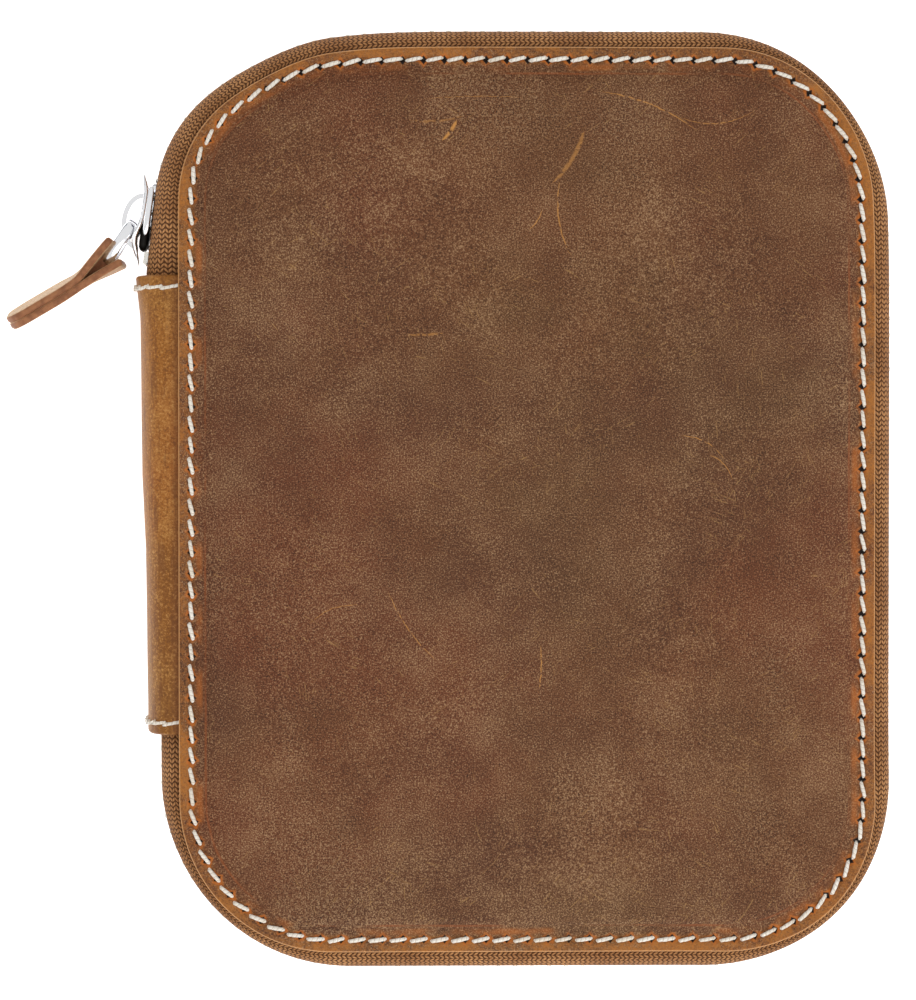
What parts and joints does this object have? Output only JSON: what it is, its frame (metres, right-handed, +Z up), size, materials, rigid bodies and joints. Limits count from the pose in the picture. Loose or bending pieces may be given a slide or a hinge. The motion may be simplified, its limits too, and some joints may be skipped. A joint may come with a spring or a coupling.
{
  "type": "zip-around leather case",
  "caption": "Flat rectangular leather case with rounded corners that zips round three sides and folds open about a leather spine strip.",
  "frame": {"origin": "centre of the back cover's flat outer face", "axes": "+Z up through the closed case from back cover to front cover, +Y along its height, +X from the spine towards the opening side"},
  "size_m": [0.1465, 0.156, 0.024],
  "materials": {
    "cover_leather": "waxed pull-up leather, scuffed",
    "spine_leather": "waxed pull-up leather, lighter where stretched",
    "stiffener_board": "plain",
    "lining_fabric": "brushed suede cloth",
    "pocket_leather": "matt leather",
    "zip_tape": "woven polyester",
    "zip_metal": "bright",
    "slider_metal": "polished nickel",
    "seam_thread": "waxed linen thread",
    "elastic": "woven elastic",
    "pull_leather": "waxed face, raw flesh side"
  },
  "bodies": {
    "back": {"back_cover_leather": "cover_leather", "back_stiffener": "stiffener_board", "back_lining": "lining_fabric", "back_zip_tape": "zip_tape", "back_zip_teeth": "zip_metal", "back_seam_thread": "seam_thread", "back_spine_hem": "spine_leather", "back_slip_pocket": "pocket_leather", "back_pocket_thread": "seam_thread"},
    "spine": {"spine_leather": "spine_leather", "spine_lining": "lining_fabric", "spine_top_thread": "seam_thread", "spine_bottom_thread": "seam_thread", "zip_end_tape": "zip_tape", "zip_end_teeth": "zip_metal", "zip_end_stops": "zip_metal"},
    "front": {"front_cover_leather": "cover_leather", "front_stiffener": "stiffener_board", "front_lining": "lining_fabric", "front_zip_tape": "zip_tape", "front_zip_teeth": "zip_metal", "front_seam_thread": "seam_thread", "front_spine_hem": "spine_leather", "front_elastic_band": "elastic", "front_band_tacks": "seam_thread"},
    "slider": {"slider_body": "slider_metal", "slider_bridge": "slider_metal"},
    "pull": {"pull_link": "slider_metal", "pull_strap_upper": "pull_leather", "pull_strap_lower": "pull_leather"}
  },
  "joints": [
    {"name": "spine_fold", "type": "hinge", "parent": "back", "child": "spine", "pos_m": [-0.057, 0, 0.0027], "axis": [0, -1, 0], "range_deg": [0, 90]},
    {"name": "front_fold", "type": "hinge", "parent": "spine", "child": "front", "pos_m": [-0.057, 0, 0.0213], "axis": [0, -1, 0], "range_deg": [0, 90]},
    {"name": "slider_travel", "type": "slide", "parent": "spine", "child": "slider", "axis": [0.1392, 0.9903, 0], "range_m": [0, 0.003]},
    {"name": "pull_swing", "type": "hinge", "parent": "slider", "child": "pull", "pos_m": [-0.06504, 0.0455, 0.012], "axis": [0, 0, 1], "range_deg": [-118, 13]}
  ],
  "couplings": [
    {"joint": "front_fold", "follows": "spine_fold", "ratio": 1}
  ]
}
